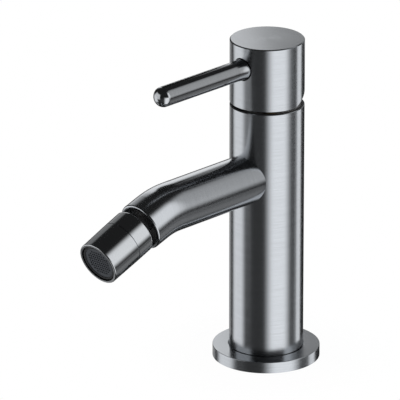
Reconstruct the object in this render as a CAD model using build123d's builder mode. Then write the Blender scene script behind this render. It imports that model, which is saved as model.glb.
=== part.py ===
from build123d import *
import math
import os

os.makedirs("parts", exist_ok=True)

# Bidet mixer on its deck: +Z up, the origin is the centre of the foot on the deck,
# and the spout and the lever point along -Y. All lengths are millimetres.

# Clearances shared by the whole mixer
seat_gap = 0.02
thread_gap = 0.05
running_gap = 0.06
sliding_gap = 0.1
pocket_gap = 0.2
overrun = 2.0

# Column and base
column_d = 38.0
column_height = 136.55
column_edge = 0.4
foot_d = 34.4
foot_h = 3.0
flange_lip = 8.5
flange_t = 5.9
flange_edge = 0.3
foot_groove_w = 0.6
foot_groove_depth = 1.2
gasket_inner_share = 0.19
gasket_outer_share = 0.75
gasket_t = 1.5

# Water ways and fixings drilled up from the foot
hose_thread_r = 4.55
hose_thread_depth = 12.0
inlet_x = 6.4
inlet_y = 3.4
channel_r = 2.0
stud_thread_r = 3.4
stud_depth = 15.0
stud_y = 9.0
mix_port_y = 6.2
mix_passage_r = 3.4
mix_chamber_r = 5.4
mix_chamber_wall = 1.0

# Spout, hung below the floor of the cartridge's pocket so that the mixed water falls to it
spout_drop = 9.3
spout_d = 25.4
spout_wall = 2.1
spout_straight = 70.4
bend_radius = 44.0
bend_angle = 18.2
spout_tail = 9.0
spigot_r = 7.6
spigot_depth = 6.0
rim_wall = 1.5
rim_edge = 0.9
socket_depth = 7.5
mouth_thread_wall = 1.8

# Ball joint at the end of the spout
ball_r = 7.5
ball_reach = 9.0
ball_bore_r = 2.9
neck_r = 4.2
stem_flange_t = 1.8
stem_thread_length = 7.0
thread_relief = 1.0
stem_bore_r = 6.0
stem_seal_w = 1.1
liner_t = 0.7
liner_gap = 0.08
liner_top_angle = 64.0
liner_low_angle = 110.0
seal_top = 5.0
seal_t = 3.4
seal_r = 9.0
seal_bore_r = 4.2

# Nozzle, measured along its own axis from the centre of the ball
nozzle_tilt = 21.3
nozzle_d = 23.9
outlet_d = 23.4
nozzle_top = 5.2
union_seam = 5.2
union_mouth_r = 7.4
union_mouth_depth = 1.2
nozzle_end = 23.0
nozzle_edge = 0.8
outlet_edge = 0.5
seam_w = 0.4
seam_depth = 0.45
union_spigot_wall = 1.1
union_spigot_length = 5.0
web_t = 2.0
web_bore_r = 8.2
aerator_bore_r = 10.4

# Aerator
aerator_gasket_t = 1.0
aerator_recess = 0.7
face_groove_w = 0.5
face_groove_depth = 2.2
face_ring_w = 1.0
mesh_t = 0.5
mesh_recess = 0.35
mesh_ledge = 0.6
mesh_pitch = 1.5
mesh_hole = 1.05
diffuser_t = 1.6
diffuser_depth = 3.0
diffuser_hole_r = 0.7
diffuser_rings = 2
diffuser_holes = 10

# Cartridge, stacked upwards from the floor of its pocket
cartridge_d = 24.8
base_plate_t = 3.0
base_slot_depth = 1.5
port_seal_w = 1.0
port_seal_t = 1.0
disc_t = 2.5
fixed_disc_r = 10.3
disc_inlet_x = 2.85
disc_inlet_r = 1.4
disc_outlet_y = 0.8
disc_outlet_r = 1.6
moving_disc_r = 8.0
moving_disc_pocket_r = 3.2
moving_disc_pocket_t = 1.2
coupler_t = 3.9
coupler_rib_x = 5.5
coupler_rib_w = 1.6
coupler_rib_length = 8.0
coupler_rib_h = 1.2
chamber_wall = 1.8
carrier_r = 9.8
carrier_shoulder_h = 6.2
carrier_neck_r = 8.1
carrier_neck_h = 8.6
housing_lip_t = 1.7
housing_top_r = 11.0
housing_shoulder_h = 13.0
stop_ring_t = 2.0
stop_ring_w = 2.2
stop_ring_notch = 1.8
nut_r = 15.4
nut_h = 9.0
nut_hex = 25.6
nut_hex_depth = 3.0
nut_thread_run = 3.0
hex_sides = 6
guard_t = 2.2
guard_rim_w = 1.6
guard_inner_gap = 0.3
guard_recess = 0.5
guard_edge = 0.3

# Stem and its pin
lift_angle = 25.0
pivot_h = 8.9
pin_r = 1.5
stem_w = 6.4
stem_foot = 4.0
stem_over_lever = 3.0
arm_top_r = 2.8
arm_end_r = 1.4
arm_ball_r = 2.0
arm_length = 10.8

# Handle cap and lever
handle_gap = 1.3
cap_height = 33.15
cap_edge = 0.5
cap_lower_edge = 0.25
cap_cut_start = 0.5
cap_cut_angle = 25.5
cap_wall = 2.4
cap_cavity_h = 7.0
cap_boss_r = 6.2
cap_boss_h = 4.0
lever_h = 21.2
lever_d = 10.4
lever_reach = 80.4
lever_root_rise = 0.35
lever_flare = 6.0
lever_seat_gap = 0.45
lever_seat_depth = 1.6
lever_thread_r = 2.9
lever_thread_length = 8.0
lever_tip_rise = 4.6
set_screw_gap = 1.25
set_screw_hex = 3.0
set_screw_hex_depth = 3.0

# Sizes and places that follow from the values above
column_r = column_d / 2
foot_r = foot_d / 2
flange_r = column_r + flange_lip
gasket_inner_r = column_r + flange_lip * gasket_inner_share
gasket_outer_r = column_r + flange_lip * gasket_outer_share
spout_r = spout_d / 2
spout_bore_r = spout_r - spout_wall
rim_bore_r = spout_r - rim_wall
mouth_thread_r = spout_r - mouth_thread_wall
nozzle_r = nozzle_d / 2
outlet_r = outlet_d / 2
cartridge_r = cartridge_d / 2
lever_r = lever_d / 2
lever_root_r = lever_r + lever_root_rise
lever_seat_run = column_r - lever_seat_depth

cartridge_depth = base_plate_t + housing_shoulder_h + nut_h + guard_t + guard_recess
floor_z = column_height - cartridge_depth
spout_z = floor_z - spout_drop
plate_top_z = floor_z + base_plate_t
fixed_disc_top_z = plate_top_z + disc_t
moving_disc_z = fixed_disc_top_z + seat_gap
coupler_z = moving_disc_z + disc_t
coupler_top_z = coupler_z + coupler_t
carrier_z = coupler_top_z + pocket_gap
shoulder_top_z = carrier_z + carrier_shoulder_h
lip_z = shoulder_top_z + sliding_gap
housing_top_z = lip_z + housing_lip_t
housing_shoulder_z = plate_top_z + housing_shoulder_h
nut_top_z = housing_shoulder_z + nut_h
pivot_z = carrier_z + pivot_h
cap_z = column_height + handle_gap
lever_z = cap_z + lever_h
stem_top_z = lever_z + stem_over_lever

lift = math.radians(lift_angle)
disc_travel = arm_length * math.sin(lift)
disc_offset = disc_travel / 2

bend = math.radians(bend_angle)
bend_end_y = spout_straight + bend_radius * math.sin(bend)
bend_end_z = spout_z - bend_radius * (1 - math.cos(bend))
spout_dir = (0, -math.cos(bend), -math.sin(bend))
spout_end = (
    0,
    -bend_end_y - spout_tail * math.cos(bend),
    bend_end_z - spout_tail * math.sin(bend),
)
end_plane = Plane(origin=spout_end, x_dir=(1, 0, 0), z_dir=spout_dir)
ball_point = end_plane.from_local_coords((0, 0, ball_reach))
tilt = math.radians(nozzle_tilt)
nozzle_dir = (0, -math.cos(tilt), -math.sin(tilt))
nozzle_plane = Plane(origin=ball_point, x_dir=(1, 0, 0), z_dir=nozzle_dir)
lever_plane = Plane(origin=(0, 0, lever_z), x_dir=(1, 0, 0), z_dir=(0, -1, 0))
spout_plane = Plane(origin=(0, 0, spout_z), x_dir=(1, 0, 0), z_dir=(0, -1, 0))
inlet_places = [(-inlet_x, -inlet_y), (inlet_x, -inlet_y)]
port_places = inlet_places + [(0, mix_port_y)]


# Column: one turned brass bar with the cartridge pocket on top and drilled water ways
nut_bore_r = nut_r + thread_gap
guard_bore_r = column_r - guard_rim_w
with BuildPart() as column_body:
    with BuildSketch(Plane.XY):
        Circle(foot_r)
    extrude(amount=foot_h)
    with BuildSketch(Plane.XY.offset(foot_h)):
        Circle(column_r)
    extrude(amount=column_height - foot_h)
    chamfer(column_body.edges().group_by(Axis.Z)[-1], length=column_edge)
    with BuildSketch(Plane.XY.offset(floor_z)):
        Circle(cartridge_r + sliding_gap)
    extrude(amount=cartridge_depth, mode=Mode.SUBTRACT)
    with BuildSketch(Plane.XY.offset(housing_shoulder_z - nut_thread_run)):
        Circle(nut_bore_r)
    extrude(amount=nut_h + nut_thread_run, mode=Mode.SUBTRACT)
    with BuildSketch(Plane.XY.offset(nut_top_z)):
        Circle(guard_bore_r)
    extrude(amount=column_height - nut_top_z, mode=Mode.SUBTRACT)
    # Hot and cold ways, with a hose thread at the foot of each
    with BuildSketch(Plane.XY):
        with Locations(*inlet_places):
            Circle(channel_r)
    extrude(amount=floor_z, mode=Mode.SUBTRACT)
    with BuildSketch(Plane.XY):
        with Locations(*inlet_places):
            Circle(hose_thread_r)
    extrude(amount=hose_thread_depth, mode=Mode.SUBTRACT)
    with BuildSketch(Plane.XY):
        with Locations((0, stud_y)):
            Circle(stud_thread_r)
    extrude(amount=stud_depth, mode=Mode.SUBTRACT)
    # Mixed water falls behind the inlets, and runs forward between them to the spout
    with BuildSketch(Plane.XY.offset(spout_z)):
        with Locations((0, mix_port_y)):
            Circle(channel_r)
    extrude(amount=floor_z - spout_z, mode=Mode.SUBTRACT)
    with BuildSketch(spout_plane.offset(-mix_port_y - mix_passage_r)):
        Circle(mix_passage_r)
    extrude(amount=mix_port_y + mix_passage_r + column_r, mode=Mode.SUBTRACT)
    with BuildSketch(spout_plane.offset(inlet_y + channel_r + mix_chamber_wall)):
        Circle(mix_chamber_r)
    extrude(amount=column_r, mode=Mode.SUBTRACT)
    with BuildSketch(spout_plane.offset(column_r - spigot_depth)):
        Circle(spigot_r + seat_gap)
    extrude(amount=spigot_depth, mode=Mode.SUBTRACT)
column_body.part.label = "column_body"
export_step(column_body.part, "parts/column_body.step")

# Base flange: a turned ring that the column's shoulder clamps to the deck, with a groove round the column
with BuildPart() as base_flange:
    with BuildSketch(Plane.XY):
        Circle(flange_r)
        Circle(foot_r + seat_gap, mode=Mode.SUBTRACT)
    extrude(amount=flange_t)
    fillet(base_flange.edges().group_by(Axis.Z)[-1].sort_by(SortBy.LENGTH)[-1], radius=flange_edge)
    with BuildSketch(Plane.XY.offset(foot_h)):
        Circle(column_r + seat_gap)
    extrude(amount=flange_t - foot_h, mode=Mode.SUBTRACT)
    with BuildSketch(Plane.XY.offset(flange_t - foot_groove_depth)):
        Circle(column_r + foot_groove_w)
    extrude(amount=foot_groove_depth, mode=Mode.SUBTRACT)
    with BuildSketch(Plane.XY):
        Circle(gasket_outer_r + seat_gap)
        Circle(gasket_inner_r - seat_gap, mode=Mode.SUBTRACT)
    extrude(amount=gasket_t, mode=Mode.SUBTRACT)
base_flange.part.label = "base_flange"
export_step(base_flange.part, "parts/base_flange.step")

# Base gasket: a flat rubber ring in the flange's groove, flush with the deck
with BuildPart() as base_gasket:
    with BuildSketch(Plane.XY):
        Circle(gasket_outer_r)
        Circle(gasket_inner_r, mode=Mode.SUBTRACT)
    extrude(amount=gasket_t)
base_gasket.part.label = "base_gasket"
export_step(base_gasket.part, "parts/base_gasket.step")


# Spout: a bent tube with a saddle against the column and a spigot brazed into it
def spout_route(start):
    """Centre line of the spout from a distance out of the column's axis to its mouth."""
    with BuildLine(Plane.YZ) as route:
        run = Line((-start, spout_z), (-spout_straight, spout_z))
        turn = JernArc(run @ 1, run % 1, bend_radius, bend_angle)
        PolarLine(turn @ 1, spout_tail, direction=turn % 1)
    return route.wire()


spout_bore_start = column_r + spout_wall
mouth_bore_depth = socket_depth + stem_thread_length + thread_relief
with BuildPart() as spout_tube:
    with BuildSketch(spout_plane):
        Circle(spout_r)
    sweep(path=spout_route(0))
    fillet(spout_tube.edges().sort_by(Axis.Y)[0], radius=rim_edge)
    with BuildSketch(spout_plane.offset(spout_bore_start)):
        Circle(spout_bore_r)
    sweep(path=spout_route(spout_bore_start), mode=Mode.SUBTRACT)
    with BuildSketch(end_plane.offset(-mouth_bore_depth)):
        Circle(mouth_thread_r)
    extrude(amount=mouth_bore_depth, mode=Mode.SUBTRACT)
    with BuildSketch(end_plane.offset(-socket_depth)):
        Circle(rim_bore_r)
    extrude(amount=socket_depth, mode=Mode.SUBTRACT)
    with BuildSketch(Plane.XY.offset(spout_z - column_r)):
        Circle(column_r + seat_gap)
    extrude(amount=column_d, mode=Mode.SUBTRACT)
    with BuildSketch(spout_plane.offset(column_r - spigot_depth)):
        Circle(spigot_r)
    extrude(amount=spigot_depth + spout_wall)
    with BuildSketch(spout_plane.offset(column_r - spigot_depth)):
        Circle(mix_chamber_r)
    extrude(amount=spigot_depth + spout_wall + overrun, mode=Mode.SUBTRACT)
spout_tube.part.label = "spout_tube"
export_step(spout_tube.part, "parts/spout_tube.step")

# Ball stem: screwed into the spout's mouth, with a hollow neck that ends in the ball
stem_top = -socket_depth
stem_thread_r = mouth_thread_r - thread_gap
seal_groove = stem_top - stem_thread_length / 2
with BuildPart() as ball_stem:
    with BuildSketch(end_plane.offset(stem_top - stem_thread_length)):
        Circle(stem_thread_r)
    extrude(amount=stem_thread_length)
    with BuildSketch(end_plane.offset(stem_top)):
        Circle(rim_bore_r - sliding_gap)
    extrude(amount=stem_flange_t)
    with BuildSketch(end_plane.offset(seal_groove - stem_seal_w / 2)):
        Circle(stem_thread_r)
        Circle(stem_thread_r - stem_seal_w, mode=Mode.SUBTRACT)
    extrude(amount=stem_seal_w, mode=Mode.SUBTRACT)
    with BuildSketch(end_plane.offset(stem_top)):
        Circle(neck_r)
    extrude(amount=ball_reach - stem_top)
    with Locations(nozzle_plane.location):
        Sphere(ball_r)
    with BuildSketch(end_plane.offset(stem_top - stem_thread_length)):
        Circle(stem_bore_r)
    extrude(amount=stem_thread_length, mode=Mode.SUBTRACT)
    with BuildSketch(end_plane.offset(stem_top)):
        Circle(ball_bore_r)
    extrude(amount=ball_reach - stem_top + ball_r, mode=Mode.SUBTRACT)
ball_stem.part.label = "ball_stem"
export_step(ball_stem.part, "parts/ball_stem.step")

# Stem seal: a rubber ring in the groove of the stem's thread
with BuildPart() as stem_seal:
    with BuildSketch(end_plane.offset(seal_groove - stem_seal_w / 2)):
        Circle(stem_thread_r)
        Circle(stem_thread_r - stem_seal_w, mode=Mode.SUBTRACT)
    extrude(amount=stem_seal_w)
stem_seal.part.label = "stem_seal"
export_step(stem_seal.part, "parts/stem_seal.step")

# Ball liner: a thin spherical sleeve of slippery plastic round the ball
liner_inner_r = ball_r + liner_gap
liner_outer_r = liner_inner_r + liner_t
liner_top = -liner_outer_r * math.cos(math.radians(liner_top_angle))
liner_low = -liner_outer_r * math.cos(math.radians(liner_low_angle))
with BuildPart() as ball_liner:
    with Locations(nozzle_plane.location):
        Sphere(liner_outer_r)
        Sphere(liner_inner_r, mode=Mode.SUBTRACT)
    with BuildSketch(nozzle_plane.offset(liner_top)):
        Circle(liner_outer_r + overrun)
    extrude(amount=liner_low - liner_top, mode=Mode.INTERSECT)
ball_liner.part.label = "ball_liner"
export_step(ball_liner.part, "parts/ball_liner.step")

# Ball seal: a rubber ring under the ball, dished to its curve
with BuildPart() as ball_seal:
    with BuildSketch(nozzle_plane.offset(seal_top)):
        Circle(seal_r)
        Circle(seal_bore_r, mode=Mode.SUBTRACT)
    extrude(amount=seal_t)
    with Locations(nozzle_plane.location):
        Sphere(liner_inner_r, mode=Mode.SUBTRACT)
ball_seal.part.label = "ball_seal"
export_step(ball_seal.part, "parts/ball_seal.step")

# Union ring: the nozzle's upper collar, which holds the ball and screws into the shell
union_socket_r = liner_outer_r + sliding_gap
union_bore_r = seal_r + sliding_gap
union_spigot_r = union_bore_r + union_spigot_wall
with BuildPart() as union_ring:
    with BuildSketch(nozzle_plane.offset(-nozzle_top)):
        Circle(nozzle_r)
    extrude(amount=nozzle_top + union_seam - seam_w)
    fillet(union_ring.edges().sort_by(Axis(ball_point, nozzle_dir))[0], radius=nozzle_edge)
    with BuildSketch(nozzle_plane.offset(union_seam - seam_w)):
        Circle(nozzle_r - seam_depth)
    extrude(amount=seam_w)
    with BuildSketch(nozzle_plane.offset(union_seam)):
        Circle(union_spigot_r)
    extrude(amount=union_spigot_length)
    with Locations(nozzle_plane.location):
        Sphere(union_socket_r, mode=Mode.SUBTRACT)
    with BuildSketch(nozzle_plane.offset(-nozzle_top)):
        Circle(union_mouth_r)
    extrude(amount=union_mouth_depth, mode=Mode.SUBTRACT)
    with BuildSketch(nozzle_plane):
        Circle(union_socket_r)
    extrude(amount=seal_top, mode=Mode.SUBTRACT)
    with BuildSketch(nozzle_plane.offset(seal_top - sliding_gap)):
        Circle(union_bore_r)
    extrude(amount=union_seam + union_spigot_length - seal_top + sliding_gap, mode=Mode.SUBTRACT)
union_ring.part.label = "union_ring"
export_step(union_ring.part, "parts/union_ring.step")

# Nozzle shell: the polished lower sleeve, with a web that the aerator seals against
web_z = union_seam + union_spigot_length + sliding_gap
aerator_z = web_z + web_t
with BuildPart() as nozzle_shell:
    with BuildSketch(nozzle_plane.offset(union_seam)):
        Circle(nozzle_r)
    with BuildSketch(nozzle_plane.offset(nozzle_end)):
        Circle(outlet_r)
    loft()
    fillet(nozzle_shell.edges().sort_by(Axis(ball_point, nozzle_dir))[-1], radius=outlet_edge)
    with BuildSketch(nozzle_plane.offset(union_seam)):
        Circle(union_spigot_r + thread_gap)
    extrude(amount=web_z - union_seam, mode=Mode.SUBTRACT)
    with BuildSketch(nozzle_plane.offset(web_z)):
        Circle(web_bore_r)
    extrude(amount=web_t, mode=Mode.SUBTRACT)
    with BuildSketch(nozzle_plane.offset(aerator_z)):
        Circle(aerator_bore_r)
    extrude(amount=nozzle_end - aerator_z, mode=Mode.SUBTRACT)
nozzle_shell.part.label = "nozzle_shell"
export_step(nozzle_shell.part, "parts/nozzle_shell.step")

# Aerator gasket: a flat rubber ring between the web and the aerator
aerator_r = aerator_bore_r - thread_gap
with BuildPart() as aerator_gasket:
    with BuildSketch(nozzle_plane.offset(aerator_z)):
        Circle(aerator_r)
        Circle(web_bore_r, mode=Mode.SUBTRACT)
    extrude(amount=aerator_gasket_t)
aerator_gasket.part.label = "aerator_gasket"
export_step(aerator_gasket.part, "parts/aerator_gasket.step")

# Aerator housing: a plastic cup screwed into the outlet, with a ledge for its mesh
cup_z = aerator_z + aerator_gasket_t
cup_end = nozzle_end - aerator_recess
mesh_r = aerator_r - face_groove_w - face_ring_w
cup_bore_r = mesh_r - mesh_ledge
mesh_z = cup_end - mesh_recess - mesh_t
with BuildPart() as aerator_housing:
    with BuildSketch(nozzle_plane.offset(cup_z)):
        Circle(aerator_r)
        Circle(cup_bore_r, mode=Mode.SUBTRACT)
    extrude(amount=cup_end - cup_z)
    with BuildSketch(nozzle_plane.offset(cup_end - face_groove_depth)):
        Circle(aerator_r)
        Circle(aerator_r - face_groove_w, mode=Mode.SUBTRACT)
    extrude(amount=face_groove_depth, mode=Mode.SUBTRACT)
    with BuildSketch(nozzle_plane.offset(mesh_z)):
        Circle(mesh_r + seat_gap)
    extrude(amount=cup_end - mesh_z, mode=Mode.SUBTRACT)
aerator_housing.part.label = "aerator_housing"
export_step(aerator_housing.part, "parts/aerator_housing.step")

# Diffuser: a drilled plate across the cup, which breaks the stream into jets
diffuser_r = cup_bore_r - seat_gap
with BuildPart() as aerator_diffuser:
    with BuildSketch(nozzle_plane.offset(cup_z + diffuser_depth)):
        Circle(diffuser_r)
        for ring in range(diffuser_rings):
            ring_r = diffuser_r * (ring + 1) / (diffuser_rings + 1)
            with PolarLocations(ring_r, diffuser_holes):
                Circle(diffuser_hole_r, mode=Mode.SUBTRACT)
    extrude(amount=diffuser_t)
aerator_diffuser.part.label = "aerator_diffuser"
export_step(aerator_diffuser.part, "parts/aerator_diffuser.step")

# Mesh: the fine grid in the outlet, one flat plate with square holes
mesh_count = math.floor(mesh_r / mesh_pitch)
mesh_reach = mesh_r - mesh_pitch
mesh_places = []
for column in range(-mesh_count, mesh_count + 1):
    for row in range(-mesh_count, mesh_count + 1):
        if math.hypot(column, row) * mesh_pitch < mesh_reach:
            mesh_places.append((column * mesh_pitch, row * mesh_pitch))
with BuildPart() as aerator_mesh:
    with BuildSketch(nozzle_plane.offset(mesh_z)):
        Circle(mesh_r)
        with Locations(*mesh_places):
            Rectangle(mesh_hole, mesh_hole, mode=Mode.SUBTRACT)
    extrude(amount=mesh_t)
aerator_mesh.part.label = "aerator_mesh"
export_step(aerator_mesh.part, "parts/aerator_mesh.step")

# Port seals: a rubber ring round each port, in the underside of the base plate
with BuildPart() as port_seals:
    with BuildSketch(Plane.XY.offset(floor_z)):
        with Locations(*port_places):
            Circle(channel_r + port_seal_w)
            Circle(channel_r, mode=Mode.SUBTRACT)
    extrude(amount=port_seal_t)
port_seals.part.label = "port_seals"
export_step(port_seals.part, "parts/port_seals.step")

# Cartridge base plate: carries the fixed disc, and leads each way to its port there by a slot
inlet_slot_run = inlet_x - disc_inlet_x
inlet_slot_x = (inlet_x + disc_inlet_x) / 2
outlet_slot_run = mix_port_y - disc_outlet_y
outlet_slot_y = (mix_port_y + disc_outlet_y) / 2
across = 90
with BuildPart() as cartridge_base:
    with BuildSketch(Plane.XY.offset(floor_z)):
        Circle(cartridge_r)
        with Locations(*port_places):
            Circle(channel_r, mode=Mode.SUBTRACT)
    extrude(amount=base_plate_t)
    with BuildSketch(Plane.XY.offset(floor_z)):
        with Locations(*port_places):
            Circle(channel_r + port_seal_w + seat_gap)
    extrude(amount=port_seal_t, mode=Mode.SUBTRACT)
    with BuildSketch(Plane.XY.offset(plate_top_z - base_slot_depth)):
        with Locations((-inlet_slot_x, -inlet_y), (inlet_slot_x, -inlet_y)):
            SlotCenterToCenter(inlet_slot_run, 2 * disc_inlet_r)
        with Locations((0, outlet_slot_y)):
            SlotCenterToCenter(outlet_slot_run, 2 * disc_outlet_r, rotation=across)
    extrude(amount=base_slot_depth, mode=Mode.SUBTRACT)
cartridge_base.part.label = "cartridge_base"
export_step(cartridge_base.part, "parts/cartridge_base.step")

# Fixed disc: polished ceramic with the two inlets in front and the mixed outlet behind
with BuildPart() as fixed_disc:
    with BuildSketch(Plane.XY.offset(plate_top_z)):
        Circle(fixed_disc_r)
        with Locations((-disc_inlet_x, -inlet_y), (disc_inlet_x, -inlet_y)):
            Circle(disc_inlet_r, mode=Mode.SUBTRACT)
        with Locations((0, disc_outlet_y)):
            Circle(disc_outlet_r, mode=Mode.SUBTRACT)
    extrude(amount=disc_t)
fixed_disc.part.label = "fixed_disc"
export_step(fixed_disc.part, "parts/fixed_disc.step")

# Moving disc: closed at rest, it slides forward until its pocket joins the ports below
with BuildPart() as moving_disc:
    with BuildSketch(Plane.XY.offset(moving_disc_z)):
        with Locations((0, disc_offset)):
            Circle(moving_disc_r)
    extrude(amount=disc_t)
    with BuildSketch(Plane.XY.offset(moving_disc_z)):
        with Locations((0, disc_offset)):
            Circle(moving_disc_pocket_r)
    extrude(amount=moving_disc_pocket_t, mode=Mode.SUBTRACT)
moving_disc.part.label = "moving_disc"
export_step(moving_disc.part, "parts/moving_disc.step")

# Disc coupler: pushed to and fro by the stem's arm, and guided by two ribs
arm_slot = 2 * (arm_ball_r + pocket_gap)
with BuildPart() as disc_coupler:
    with BuildSketch(Plane.XY.offset(coupler_z)):
        with Locations((0, disc_offset)):
            Circle(moving_disc_r)
        Rectangle(arm_slot, arm_slot, mode=Mode.SUBTRACT)
    extrude(amount=coupler_t)
    with BuildSketch(Plane.XY.offset(coupler_top_z)):
        with Locations((-coupler_rib_x, disc_offset), (coupler_rib_x, disc_offset)):
            Rectangle(coupler_rib_w, coupler_rib_length)
    extrude(amount=coupler_rib_h)
disc_coupler.part.label = "disc_coupler"
export_step(disc_coupler.part, "parts/disc_coupler.step")

# Cartridge housing: a stepped plastic sleeve that keeps the carrier in place
with BuildPart() as cartridge_housing:
    with BuildSketch(Plane.XY.offset(plate_top_z)):
        Circle(cartridge_r)
    extrude(amount=housing_shoulder_h)
    with BuildSketch(Plane.XY.offset(housing_shoulder_z)):
        Circle(housing_top_r)
    extrude(amount=housing_top_z - housing_shoulder_z)
    with BuildSketch(Plane.XY.offset(plate_top_z)):
        Circle(cartridge_r - chamber_wall)
    extrude(amount=coupler_top_z - plate_top_z, mode=Mode.SUBTRACT)
    with BuildSketch(Plane.XY.offset(coupler_top_z)):
        Circle(carrier_r + sliding_gap)
    extrude(amount=lip_z - coupler_top_z, mode=Mode.SUBTRACT)
    with BuildSketch(Plane.XY.offset(lip_z)):
        Circle(carrier_neck_r + sliding_gap)
    extrude(amount=housing_lip_t, mode=Mode.SUBTRACT)
cartridge_housing.part.label = "cartridge_housing"
export_step(cartridge_housing.part, "parts/cartridge_housing.step")

# Rotating carrier: turns in the housing and holds the stem's pin across its neck
neck_top_h = carrier_shoulder_h + carrier_neck_h - pivot_h
slot_front = disc_travel + arm_ball_r + pocket_gap
slot_rear = stem_w / 2 / math.cos(lift) + neck_top_h * math.tan(lift) + pocket_gap
carrier_slot_w = stem_w + 2 * sliding_gap
carrier_slot_length = slot_front + slot_rear
carrier_slot_y = (slot_rear - slot_front) / 2
groove_length = coupler_rib_length + disc_travel + 2 * pocket_gap
groove_y = disc_offset - disc_travel / 2
with BuildPart() as rotating_carrier:
    with BuildSketch(Plane.XY.offset(carrier_z)):
        Circle(carrier_r)
    extrude(amount=carrier_shoulder_h)
    with BuildSketch(Plane.XY.offset(shoulder_top_z)):
        Circle(carrier_neck_r)
    extrude(amount=carrier_neck_h)
    with BuildSketch(Plane.XY.offset(carrier_z)):
        with Locations((0, carrier_slot_y)):
            Rectangle(carrier_slot_w, carrier_slot_length)
    extrude(amount=carrier_shoulder_h + carrier_neck_h, mode=Mode.SUBTRACT)
    with BuildSketch(Plane.XY.offset(carrier_z)):
        with Locations((-coupler_rib_x, groove_y), (coupler_rib_x, groove_y)):
            Rectangle(coupler_rib_w + 2 * sliding_gap, groove_length)
    extrude(amount=coupler_rib_h, mode=Mode.SUBTRACT)
    with BuildSketch(Plane.YZ.offset(-carrier_r)):
        with Locations((0, pivot_z)):
            Circle(pin_r + seat_gap)
    extrude(amount=2 * carrier_r, mode=Mode.SUBTRACT)
rotating_carrier.part.label = "rotating_carrier"
export_step(rotating_carrier.part, "parts/rotating_carrier.step")

# Hinge pin: a steel pin through the carrier's neck, which the stem rocks on
pin_half = carrier_neck_r - pocket_gap
with BuildPart() as hinge_pin:
    with BuildSketch(Plane.YZ.offset(-pin_half)):
        with Locations((0, pivot_z)):
            Circle(pin_r)
    extrude(amount=2 * pin_half)
hinge_pin.part.label = "hinge_pin"
export_step(hinge_pin.part, "parts/hinge_pin.step")

# Stem: a square bar that rocks on the pin, with an arm down to the coupler
arm_end_z = pivot_z - arm_length
stem_foot_z = pivot_z - stem_foot
with BuildPart() as stem:
    with BuildSketch(Plane.XY.offset(stem_foot_z)):
        Rectangle(stem_w, stem_w)
    extrude(amount=stem_top_z - stem_foot_z)
    with BuildSketch(Plane.XY.offset(stem_foot_z)):
        Circle(arm_top_r)
    with BuildSketch(Plane.XY.offset(arm_end_z)):
        Circle(arm_end_r)
    loft()
    with Locations((0, 0, arm_end_z)):
        Sphere(arm_ball_r)
    with BuildSketch(Plane.YZ.offset(-stem_w)):
        with Locations((0, pivot_z)):
            Circle(pin_r + running_gap)
    extrude(amount=2 * stem_w, mode=Mode.SUBTRACT)
stem.part.label = "stem"
export_step(stem.part, "parts/stem.step")

# Stop ring: a notched ring on the housing, which limits the hot side
stop_ring_inner_r = carrier_neck_r + guard_inner_gap
with BuildPart() as stop_ring:
    with BuildSketch(Plane.XY.offset(housing_top_z)):
        Circle(stop_ring_inner_r + stop_ring_w)
        Circle(stop_ring_inner_r, mode=Mode.SUBTRACT)
        with Locations((0, stop_ring_inner_r + stop_ring_w)):
            Rectangle(stop_ring_notch, stop_ring_w, mode=Mode.SUBTRACT)
    extrude(amount=stop_ring_t)
stop_ring.part.label = "stop_ring"
export_step(stop_ring.part, "parts/stop_ring.step")

# Retaining nut: screwed into the column, it presses the cartridge to its floor
with BuildPart() as retaining_nut:
    with BuildSketch(Plane.XY.offset(housing_shoulder_z)):
        Circle(nut_r)
        Circle(housing_top_r + sliding_gap, mode=Mode.SUBTRACT)
    extrude(amount=nut_h)
    with BuildSketch(Plane.XY.offset(nut_top_z - nut_hex_depth)):
        RegularPolygon(nut_hex / 2, hex_sides, major_radius=False)
    extrude(amount=nut_hex_depth, mode=Mode.SUBTRACT)
retaining_nut.part.label = "retaining_nut"
export_step(retaining_nut.part, "parts/retaining_nut.step")

# Guard ring: a black cover over the nut, just below the column's rim
with BuildPart() as guard_ring:
    with BuildSketch(Plane.XY.offset(nut_top_z)):
        Circle(guard_bore_r - seat_gap)
        Circle(carrier_neck_r + guard_inner_gap, mode=Mode.SUBTRACT)
    extrude(amount=guard_t)
    chamfer(guard_ring.edges().group_by(Axis.Z)[-1], length=guard_edge)
guard_ring.part.label = "guard_ring"
export_step(guard_ring.part, "parts/guard_ring.step")

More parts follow.
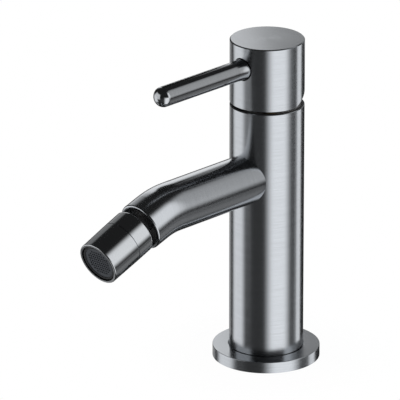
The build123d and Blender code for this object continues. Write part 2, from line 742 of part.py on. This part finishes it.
# Handle cap: turned to the column's diameter, cut away behind so that it can lift
cut_run = column_r - cap_cut_start
cut_rise = cut_run * math.tan(math.radians(cap_cut_angle))
with BuildPart() as handle_cap:
    with BuildSketch(Plane.XY.offset(cap_z)):
        Circle(column_r)
    extrude(amount=cap_height)
    chamfer(handle_cap.edges().group_by(Axis.Z)[0], length=cap_lower_edge)
    chamfer(handle_cap.edges().group_by(Axis.Z)[-1], length=cap_edge)
    with BuildSketch(Plane.XY.offset(cap_z)):
        Circle(column_r - cap_wall)
        Circle(cap_boss_r, mode=Mode.SUBTRACT)
    extrude(amount=cap_cavity_h, mode=Mode.SUBTRACT)
    with BuildSketch(Plane.XY.offset(cap_z)):
        Circle(cap_boss_r)
    extrude(amount=cap_cavity_h - cap_boss_h, mode=Mode.SUBTRACT)
    with BuildSketch(Plane.XY.offset(cap_z)):
        Rectangle(stem_w + 2 * seat_gap, stem_w + 2 * seat_gap)
    extrude(amount=stem_top_z + seat_gap - cap_z, mode=Mode.SUBTRACT)
    with BuildSketch(Plane.YZ):
        with BuildLine():
            Polyline(
                (cap_cut_start, cap_z),
                (column_r, cap_z + cut_rise),
                (column_r, cap_z),
                close=True,
            )
        make_face()
    extrude(amount=column_r, both=True, mode=Mode.SUBTRACT)
    with BuildSketch(lever_plane):
        Circle(lever_thread_r + seat_gap)
    extrude(amount=column_r, mode=Mode.SUBTRACT)
    with BuildSketch(lever_plane.offset(lever_seat_run)):
        Circle(lever_root_r + lever_seat_gap)
    extrude(amount=lever_seat_depth, mode=Mode.SUBTRACT)
handle_cap.part.label = "handle_cap"
export_step(handle_cap.part, "parts/handle_cap.step")

# Lever: a slim rod with a domed tip, flared a little where it seats in a round recess of the cap
quarter_turn = 90
flare_end = column_r + lever_flare
lever_start = lever_seat_run + seat_gap
with BuildPart() as lever:
    with BuildSketch(Plane(origin=(0, 0, lever_z), x_dir=(0, -1, 0), z_dir=(1, 0, 0))):
        with BuildLine():
            Line((lever_start, 0), (lever_start, lever_root_r))
            Line((lever_start, lever_root_r), (column_r, lever_root_r))
            TangentArc((flare_end, lever_r), (column_r, lever_root_r), tangent=(-1, 0))
            Line((flare_end, lever_r), (lever_reach - lever_tip_rise, lever_r))
            EllipticalCenterArc(
                (lever_reach - lever_tip_rise, 0),
                lever_tip_rise,
                lever_r,
                start_angle=0,
                arc_size=quarter_turn,
            )
            Line((lever_reach, 0), (lever_start, 0))
        make_face()
    revolve(axis=Axis((0, 0, lever_z), (0, -1, 0)))
    with BuildSketch(lever_plane.offset(column_r - lever_thread_length)):
        Circle(lever_thread_r)
    extrude(amount=lever_thread_length + lever_flare)
lever.part.label = "lever"
export_step(lever.part, "parts/lever.step")

# Set screw: behind the lever's thread, it clamps the cap to the stem
screw_start = stem_w / 2 + seat_gap
screw_end = column_r - lever_thread_length - set_screw_gap
with BuildPart() as set_screw:
    with BuildSketch(lever_plane.offset(screw_start)):
        Circle(lever_thread_r)
    extrude(amount=screw_end - screw_start)
    with BuildSketch(lever_plane.offset(screw_end - set_screw_hex_depth)):
        RegularPolygon(set_screw_hex / 2, hex_sides, major_radius=False)
    extrude(amount=set_screw_hex_depth, mode=Mode.SUBTRACT)
set_screw.part.label = "set_screw"
export_step(set_screw.part, "parts/set_screw.step")
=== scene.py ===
import math
import bpy
from mathutils import Matrix, Vector

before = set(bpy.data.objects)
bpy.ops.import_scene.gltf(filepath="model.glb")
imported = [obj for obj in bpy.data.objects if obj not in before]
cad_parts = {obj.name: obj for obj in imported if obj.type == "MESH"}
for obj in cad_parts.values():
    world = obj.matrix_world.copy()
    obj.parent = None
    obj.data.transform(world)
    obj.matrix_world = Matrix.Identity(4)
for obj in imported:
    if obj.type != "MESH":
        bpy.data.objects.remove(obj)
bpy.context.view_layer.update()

# Camera: a long lens three metres away, right of the spout and a little above the cap, with the lens
# axis pushed off the column so that the spout and the nozzle fill the left half of the picture.
view_azimuth = math.radians(43.49)
view_elevation = math.radians(20.43)
view_distance = 3.0
view_target = Vector((0, 0, 0.085))
view_shift = (-0.0339, -0.000913)
lens_mm = 530.8
sensor_mm = 36
far_limit = 20
toward_camera = Vector((
    math.sin(view_azimuth) * math.cos(view_elevation),
    -math.cos(view_azimuth) * math.cos(view_elevation),
    math.sin(view_elevation),
))
view_right = Vector((math.cos(view_azimuth), math.sin(view_azimuth), 0))
view_up = toward_camera.cross(view_right)
camera_data = bpy.data.cameras.new("camera")
camera_data.lens = lens_mm
camera_data.sensor_width = sensor_mm
camera_data.clip_end = far_limit
camera = bpy.data.objects.new("camera", camera_data)
bpy.context.scene.collection.objects.link(camera)
camera.matrix_world = Matrix.LocRotScale(
    view_target + toward_camera * view_distance + view_right * view_shift[0] + view_up * view_shift[1],
    Matrix((view_right, view_up, toward_camera)).transposed().to_quaternion(),
    None,
)
bpy.context.scene.camera = camera
bpy.context.scene.view_settings.view_transform = "Standard"


# White background: the world is plain white wherever it is seen, straight or in the metal, and gives
# an even, moderate light to everything that scatters it.
class Flow:
    """A shader socket that can be used in sums, and that adds the nodes these need to its tree."""

    def __init__(self, tree, socket=None):
        self.tree = tree
        self.socket = socket

    def put(self, kind, settings=None, links=None, out=0):
        """Adds a node with its settings, then the values or links of its sockets."""
        made = self.tree.nodes.new("ShaderNode" + kind)
        for name, value in (settings or {}).items():
            setattr(made, name, value)
        for name, value in (links or {}).items():
            if isinstance(value, Flow):
                self.tree.links.new(value.socket, made.inputs[name])
            else:
                made.inputs[name].default_value = value
        return Flow(self.tree, made.outputs[out] if made.outputs else None)

    def feed(self, node, name):
        """Links this socket to a named socket of a node that is there already."""
        self.tree.links.new(self.socket, node.inputs[name])

    def sum(self, operation, *terms):
        """Adds a Math node on these terms."""
        return self.put("Math", {"operation": operation}, dict(enumerate(terms)))

    def __add__(self, other):
        return self.sum("ADD", self, other)

    def __sub__(self, other):
        return self.sum("SUBTRACT", self, other)

    def __rsub__(self, other):
        return self.sum("SUBTRACT", other, self)

    def __mul__(self, other):
        return self.sum("MULTIPLY", self, other)

    __radd__ = __add__
    __rmul__ = __mul__


even_light = 0.55
plain_white = (1, 1, 1, 1)
world = bpy.data.worlds.new("white_background")
bpy.context.scene.world = world
world.use_nodes = True
sky = Flow(world.node_tree)
seen = sky.put("LightPath", out="Is Camera Ray")
seen = seen.sum("MAXIMUM", seen, sky.put("LightPath", out="Is Glossy Ray"))
seen = seen.sum("MAXIMUM", seen, sky.put("LightPath", out="Is Transmission Ray"))
(seen * (1 - even_light) + even_light).feed(world.node_tree.nodes["Background"], "Strength")
world.node_tree.nodes["Background"].inputs["Color"].default_value = plain_white

# Floor: a small pale table top under the flange, which fades into the white background all round and
# keeps the faint shadow that the foot leaves on it. The metal sees the white background in its place.
floor_radius = 0.16
floor_sides = 96
floor_solid_radius = 0.036
floor_faded_radius = 0.075
floor_level = -0.0001
floor_glow = 0.975
floor_colour = (0.97, 0.97, 0.97, 1)
bpy.ops.object.select_all(action="DESELECT")
bpy.ops.mesh.primitive_circle_add(
    vertices=floor_sides, radius=floor_radius, fill_type="NGON", location=(0, 0, floor_level)
)
floor = bpy.context.object
floor.name = "floor"
floor.visible_glossy = False
floor_finish = bpy.data.materials.new("pale_floor")
floor_finish.use_nodes = True
floor_finish.node_tree.nodes.clear()
paint = Flow(floor_finish.node_tree)
place = paint.put("TexCoord", out="Object")
radius = paint.put("VectorMath", {"operation": "LENGTH"}, {0: place}, out="Value")
cover = paint.put(
    "MapRange",
    {"interpolation_type": "SMOOTHSTEP"},
    {"Value": radius, "From Min": floor_solid_radius, "From Max": floor_faded_radius, "To Min": 1, "To Max": 0},
)
seen = paint.put("LightPath", out="Is Camera Ray")
seen = seen.sum("MAXIMUM", seen, paint.put("LightPath", out="Is Glossy Ray"))
matt = paint.put("BsdfDiffuse", links={"Color": floor_colour})
white = paint.put("Emission", links={"Color": plain_white, "Strength": 1.0})
surface = paint.put("MixShader", links={0: seen * floor_glow, 1: matt, 2: white})
clear = paint.put("BsdfTransparent")
top = paint.put("MixShader", links={0: cover, 1: clear, 2: surface})
paint.put("OutputMaterial", links={"Surface": top})
floor.data.materials.append(floor_finish)

# Light tent: a dark round studio that only polished surfaces see. Its inside carries soft lit panels,
# and it is open behind, where the metal sees the white background.
tent_radius = 2.4
tent_segments = 64
tent_rings = 32
tent_dark = 0.028
bpy.ops.object.select_all(action="DESELECT")
bpy.ops.mesh.primitive_uv_sphere_add(
    segments=tent_segments, ring_count=tent_rings, radius=tent_radius, location=(0, 0, 0)
)
tent = bpy.context.object
tent.name = "light_tent"
tent.visible_camera = False
tent.visible_diffuse = False
tent.visible_shadow = False
tent.visible_transmission = False
tent_finish = bpy.data.materials.new("tent_panels")
tent_finish.use_nodes = True
tent_finish.node_tree.nodes.clear()
paint = Flow(tent_finish.node_tree)
place = paint.put("TexCoord", out="Object")
turned = paint.put("Mapping", {"vector_type": "POINT"}, {"Vector": place, "Rotation": (0, 0, -view_azimuth)})
aside = paint.put("SeparateXYZ", links={0: turned}, out="X")
back = paint.put("SeparateXYZ", links={0: turned}, out="Y")
height = paint.put("SeparateXYZ", links={0: turned}, out="Z")
bearing = paint.sum("DEGREES", paint.sum("ARCTAN2", aside, -1 * back))
level = paint.sum("DEGREES", paint.sum("ARCSINE", height * (1 / tent_radius)))


def soft_panel(bearing_at, half_width, width_soft, level_at, half_height, height_soft):
    """A lit patch of the tent: 1 inside, 0 outside, with soft edges. All in degrees."""
    across = paint.sum("ABSOLUTE", paint.sum("WRAP", bearing - bearing_at, 180.0, -180.0))
    along = paint.sum("ABSOLUTE", level - level_at)
    shares = []
    for offset, half, soft in ((across, half_width, width_soft), (along, half_height, height_soft)):
        limits = {"Value": offset, "From Min": half - soft, "From Max": half + soft, "To Min": 1, "To Max": 0}
        shares.append(paint.put("MapRange", {"interpolation_type": "SMOOTHSTEP"}, limits))
    return shares[0] * shares[1]


# Bearing right of the camera, half width, softness, level, half height, softness
rear_opening = (-172, 11, 5, 24, 19, 6)
# The same six values of each panel, and its brightness
panels = (
    (37, 32, 17, -30, 36, 6, 1.78),
    (72, 15, 6, 21, 28, 12, 1.62),
    (97, 11, 5, 22, 27, 9, 0.70),
    (111, 8, 4, 40, 8, 5, 0.60),
    (116, 12, 4, -6, 22, 5, 1.46),
    (111, 15, 7, -36, 10, 5, 0.32),
    (96, 12, 6, -27, 10, 5, 0.20),
    (-100, 24, 10, -14, 22, 7, 1.46),
    (-78, 29, 5, 8, 21, 5, 1.20),
    (-114, 9, 4, -49, 5, 3, 1.10),
    (-157, 14, 6, -20, 14, 6, 0.45),
    (*rear_opening, 0.42),
    (-156, 9, 4, 26, 14, 6, 0.32),
    (-30, 30, 10, -25, 22, 8, 0.07),
)
light = None
for *patch, brightness in panels:
    lit = soft_panel(*patch) * brightness
    light = lit if light is None else paint.sum("MAXIMUM", light, lit)
light = paint.sum("MAXIMUM", light, tent_dark)
opening = soft_panel(*rear_opening)
glow = paint.put("Emission", links={"Color": plain_white, "Strength": light})
clear = paint.put("BsdfTransparent", links={"Color": opening})
wall = paint.put("AddShader", links={0: glow, 1: clear})
paint.put("OutputMaterial", links={"Surface": wall})
tent.data.materials.append(tent_finish)

# Flags: two boards behind the object, which only polished surfaces see. The grey one stands on the
# right and darkens that half of the faces that look up, the black one darkens the lever's upper edge.
behind = Vector((-math.sin(view_azimuth), math.cos(view_azimuth), 0))
# Distance behind the axis, left and right edge, foot and head, soft half width of the left edge, grey
flags = {
    "grey_flag": (0.45, -0.025, 0.5, 0.0, 0.5, 0.026, 0.34),
    "black_flag": (0.06, -0.075, -0.022, 0.175, 0.30, 0.002, 0.02),
}
for flag_name, (distance, left, right, foot, head, soft, grey) in flags.items():
    bpy.ops.object.select_all(action="DESELECT")
    bpy.ops.mesh.primitive_plane_add(size=1, location=(0, 0, 0))
    flag = bpy.context.object
    flag.name = flag_name
    flag.data.transform(Matrix.Diagonal((right - left, head - foot, 1, 1)))
    flag.data.transform(Matrix((view_right, Vector((0, 0, 1)), -behind)).transposed().to_4x4())
    flag.data.transform(Matrix.Translation(
        behind * distance + view_right * (left + right) / 2 + Vector((0, 0, (foot + head) / 2))
    ))
    flag.visible_camera = False
    flag.visible_diffuse = False
    flag.visible_shadow = False
    flag.visible_transmission = False
    finish = bpy.data.materials.new(flag_name)
    finish.use_nodes = True
    finish.node_tree.nodes.clear()
    paint = Flow(finish.node_tree)
    place = paint.put("TexCoord", out="Object")
    turned = paint.put("Mapping", {"vector_type": "POINT"}, {"Vector": place, "Rotation": (0, 0, -view_azimuth)})
    aside = paint.put("SeparateXYZ", links={0: turned}, out="X")
    limits = {"Value": aside, "From Min": left, "From Max": left + 2 * soft, "To Min": 0, "To Max": 1}
    cover = paint.put("MapRange", {"interpolation_type": "SMOOTHSTEP"}, limits)
    board = paint.put("Emission", links={"Color": plain_white, "Strength": grey})
    clear = paint.put("BsdfTransparent")
    surface = paint.put("MixShader", links={0: cover, 1: clear, 2: board})
    paint.put("OutputMaterial", links={"Surface": surface})
    flag.data.materials.append(finish)

# Lamps: two broad soft lamps for whatever scatters light, high on the right and lower on the left.
lamp_places = {"lamp_right": ((1.6, -0.6, 1.5), 11.0), "lamp_left": ((-1.2, -1.4, 0.9), 5.0)}
lamp_size = 1.2
for lamp_name, (lamp_at, watts) in lamp_places.items():
    lamp_data = bpy.data.lights.new(lamp_name, "AREA")
    lamp_data.shape = "DISK"
    lamp_data.size = lamp_size
    lamp_data.energy = watts
    lamp = bpy.data.objects.new(lamp_name, lamp_data)
    bpy.context.scene.collection.objects.link(lamp)
    lamp.visible_glossy = False
    lamp.location = lamp_at
    lamp.rotation_euler = (view_target - Vector(lamp_at)).to_track_quat("-Z", "Y").to_euler()


# Column, cap and flange: brass bars turned on the lathe, brushed round and round with a fine belt,
# and plated dark gunmetal. The brush marks run round the walls and in circles over the faces.
def new_finish(name, **values):
    """A material with one metal or plastic shader, whose plain values are set by name."""
    made = bpy.data.materials.new(name)
    made.use_nodes = True
    shader = made.node_tree.nodes["Principled BSDF"]
    for socket, value in values.items():
        shader.inputs[socket.replace("_", " ")].default_value = value
    return made, shader, Flow(made.node_tree)


def dress(material, *names):
    """Gives CAD nodes their finish."""
    for name in names:
        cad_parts[name].material_slots[0].material = material


def shade(paint, dark, pale, marks):
    """The colour between dark and pale, by how strong the marks are."""
    faint, strong = 0.3, 0.7
    share = paint.put("MapRange", links={"Value": marks, "From Min": faint, "From Max": strong})
    return paint.put("Mix", {"data_type": "RGBA"}, {0: share, 6: (*dark, 1), 7: (*pale, 1)}, out=2)


def brushed(name, dark, pale, rough, rough_spread, depth, lines_per_metre, anisotropy, painted_shade_radius, painted_shade_top):
    """Metal brushed round the Z axis. Inside the given radius and below the given top it is painted dark and
    unbrushed, a painted shade for the hollows and the gap under the cap.
    """
    quarter_turn = 0.25
    made, shader, paint = new_finish(name, Anisotropic=anisotropy, Anisotropic_Rotation=quarter_turn)
    place = paint.put("TexCoord", out="Object")
    x = paint.put("SeparateXYZ", links={0: place}, out="X")
    y = paint.put("SeparateXYZ", links={0: place}, out="Y")
    z = paint.put("SeparateXYZ", links={0: place}, out="Z")
    flat = paint.put("CombineXYZ", links={"X": x, "Y": y})
    radius = paint.put("VectorMath", {"operation": "LENGTH"}, {0: flat}, out="Value")
    stroke = 70.0
    coarse_scale = 0.2
    coarse_weight = 0.35
    path = paint.put("CombineXYZ", links={"X": x * stroke, "Y": y * stroke, "Z": (z + radius) * lines_per_metre})
    fine = paint.put("TexNoise", links={"Vector": path, "Scale": 1.0, "Detail": 3.0, "Roughness": 0.65})
    slow = paint.put("CombineXYZ", links={
        "X": x * stroke, "Y": y * stroke, "Z": (z + radius) * (lines_per_metre * coarse_scale),
    })
    coarse = paint.put("TexNoise", links={"Vector": slow, "Scale": 1.0, "Detail": 2.0})
    marks = fine * (1 - coarse_weight) + coarse * coarse_weight
    metal = shade(paint, dark, pale, marks)
    # Painted shade: the bore of the column, the top face of its rim and the hollow of the cap are painted near
    # black and not metal, as shade in the gap under the cap.
    inside = paint.sum("LESS_THAN", radius, painted_shade_radius) * paint.sum("LESS_THAN", z, painted_shade_top)
    painted_shade_colour = (0.014, 0.014, 0.015, 1)
    painted_shade_roughening = 0.5
    colour = paint.put("Mix", {"data_type": "RGBA"}, {0: inside, 6: metal, 7: painted_shade_colour}, out=2)
    colour.feed(shader, "Base Color")
    (1 - inside).feed(shader, "Metallic")
    (marks * rough_spread + (rough - rough_spread / 2) + inside * painted_shade_roughening).feed(shader, "Roughness")
    relief_strength = 0.35
    relief = paint.put("Bump", links={"Height": marks, "Strength": relief_strength, "Distance": depth})
    relief.feed(shader, "Normal")
    return made


# The radius and top given below mark where the hollows under the cap get their painted shade.
dress(
    brushed(
        "brushed_gunmetal", dark=(0.338, 0.354, 0.374), pale=(0.405, 0.424, 0.448), rough=0.22, rough_spread=0.12,
        depth=0.000008, lines_per_metre=7500.0, anisotropy=0.35, painted_shade_radius=0.0187, painted_shade_top=0.1665,
    ),
    "column_body", "handle_cap", "base_flange",
)


# Spout: a bent brass tube with the same dark plating, brushed round its own length and a little
# smoother than the column.
def drawn(name, dark, pale, rough, rough_spread, depth, lines_per_metre, along):
    """Metal with fine marks across the direction along, one factor for each axis."""
    made, shader, paint = new_finish(name, Metallic=1.0)
    place = paint.put("TexCoord", out="Object")
    stroke = 40.0
    scale = tuple(stroke + share * lines_per_metre for share in along)
    path = paint.put("Mapping", {"vector_type": "POINT"}, {"Vector": place, "Scale": scale})
    marks = paint.put("TexNoise", links={"Vector": path, "Scale": 1.0, "Detail": 3.0, "Roughness": 0.6})
    shade(paint, dark, pale, marks).feed(shader, "Base Color")
    (marks * rough_spread + (rough - rough_spread / 2)).feed(shader, "Roughness")
    relief_strength = 0.25
    relief = paint.put("Bump", links={"Height": marks, "Strength": relief_strength, "Distance": depth})
    relief.feed(shader, "Normal")
    return made


dress(
    drawn(
        "satin_gunmetal", dark=(0.345, 0.360, 0.379), pale=(0.393, 0.410, 0.432), rough=0.17, rough_spread=0.06,
        depth=0.000004, lines_per_metre=5200.0, along=(0, 1, 0),
    ),
    "spout_tube",
)

# Lever: a slim rod turned with a domed tip and a small flare against the cap, polished before plating,
# and screwed into the cap.
dress(
    drawn(
        "polished_gunmetal", dark=(0.345, 0.357, 0.372), pale=(0.385, 0.398, 0.415), rough=0.14, rough_spread=0.05,
        depth=0.000004, lines_per_metre=5200.0, along=(0, 1, 0),
    ),
    "lever",
)

# Nozzle: the collar and the long sleeve under it, turned in brass, mirror polished and plated in black
# chrome. A thin dark seam shows where they screw together.
dress(
    drawn(
        "black_chrome", dark=(0.365, 0.378, 0.392), pale=(0.39, 0.404, 0.42), rough=0.13, rough_spread=0.03,
        depth=0.000002, lines_per_metre=3000.0, along=(0, 1, 0.4),
    ),
    "union_ring", "nozzle_shell",
)


# Ball stem: the hollow brass ball and neck inside the spout's mouth, painted near black as painted shade so that
# nothing shines out of the gap.
def mottled(name, dark, pale, rough, rough_spread, grain_per_metre, depth):
    """A moulded or cast surface, or one painted dark as shade, with an even fine grain."""
    made, shader, paint = new_finish(name, Metallic=0.0)
    place = paint.put("TexCoord", out="Object")
    grain = paint.put("TexNoise", links={"Vector": place, "Scale": grain_per_metre, "Detail": 3.0})
    shade(paint, dark, pale, grain).feed(shader, "Base Color")
    (grain * rough_spread + (rough - rough_spread / 2)).feed(shader, "Roughness")
    relief_strength = 0.3
    relief = paint.put("Bump", links={"Height": grain, "Strength": relief_strength, "Distance": depth})
    relief.feed(shader, "Normal")
    return made


dress(
    mottled(
        "blackened_brass", dark=(0.045, 0.045, 0.048), pale=(0.065, 0.065, 0.068), rough=0.5, rough_spread=0.1,
        grain_per_metre=900.0, depth=0.00001,
    ),
    "ball_stem",
)

# Seals: soft black rubber rings under the flange, round the ball stem, under the ball, above the
# aerator and under the cartridge.
dress(
    mottled(
        "black_rubber", dark=(0.014, 0.014, 0.015), pale=(0.028, 0.028, 0.029), rough=0.6, rough_spread=0.15,
        grain_per_metre=1400.0, depth=0.00002,
    ),
    "base_gasket", "stem_seal", "ball_seal", "aerator_gasket", "port_seals",
)

# Aerator: a grey moulded cup and the drilled plate inside it, both coloured near black: painted shade, so that the
# holes of the mesh look into shadow.
dress(
    mottled(
        "grey_polymer", dark=(0.010, 0.0105, 0.012), pale=(0.017, 0.018, 0.020), rough=0.6, rough_spread=0.12,
        grain_per_metre=1200.0, depth=0.00001,
    ),
    "aerator_housing", "aerator_diffuser",
)

# Mesh: a fine steel grid across the outlet, darkened by the shade of the cup behind it.
dress(
    mottled(
        "dark_mesh", dark=(0.044, 0.050, 0.060), pale=(0.068, 0.075, 0.088), rough=0.6, rough_spread=0.12,
        grain_per_metre=2600.0, depth=0.00001,
    ),
    "aerator_mesh",
)

# Cartridge: the sleeve, its base plate, the turning carrier, the disc coupler and the liner of the
# ball, all moulded in a pale slippery plastic.
dress(
    mottled(
        "white_polymer", dark=(0.66, 0.65, 0.62), pale=(0.76, 0.75, 0.72), rough=0.4, rough_spread=0.12,
        grain_per_metre=700.0, depth=0.00001,
    ),
    "cartridge_base", "cartridge_housing", "rotating_carrier", "disc_coupler", "ball_liner",
)

# Discs: two plates of fired ceramic, lapped flat and smooth.
dress(
    mottled(
        "ceramic_disc", dark=(0.70, 0.69, 0.64), pale=(0.78, 0.77, 0.73), rough=0.16, rough_spread=0.06,
        grain_per_metre=1800.0, depth=0.000002,
    ),
    "fixed_disc", "moving_disc",
)

# Stop ring: a notched ring in red plastic on the cartridge, which limits the hot side.
dress(
    mottled(
        "red_polymer", dark=(0.45, 0.03, 0.02), pale=(0.56, 0.05, 0.035), rough=0.4, rough_spread=0.1,
        grain_per_metre=900.0, depth=0.00001,
    ),
    "stop_ring",
)

# Guard ring: a cover in black plastic over the nut, whose rim shows beside the cut of the cap.
dress(
    mottled(
        "black_polymer", dark=(0.03, 0.03, 0.031), pale=(0.05, 0.05, 0.052), rough=0.38, rough_spread=0.1,
        grain_per_metre=1000.0, depth=0.00001,
    ),
    "guard_ring",
)

# Nut and stem: bright brass, turned and milled, hidden in the column under the cap.
dress(
    drawn(
        "bright_brass", dark=(0.70, 0.50, 0.22), pale=(0.80, 0.60, 0.30), rough=0.28, rough_spread=0.1,
        depth=0.00001, lines_per_metre=3000.0, along=(0, 0, 1),
    ),
    "retaining_nut", "stem",
)

# Pin and screw: plain ground steel, the pin across the carrier and the screw behind the lever.
dress(
    drawn(
        "ground_steel", dark=(0.50, 0.50, 0.49), pale=(0.60, 0.60, 0.59), rough=0.25, rough_spread=0.1,
        depth=0.00001, lines_per_metre=4000.0, along=(1, 0, 0),
    ),
    "hinge_pin", "set_screw",
)
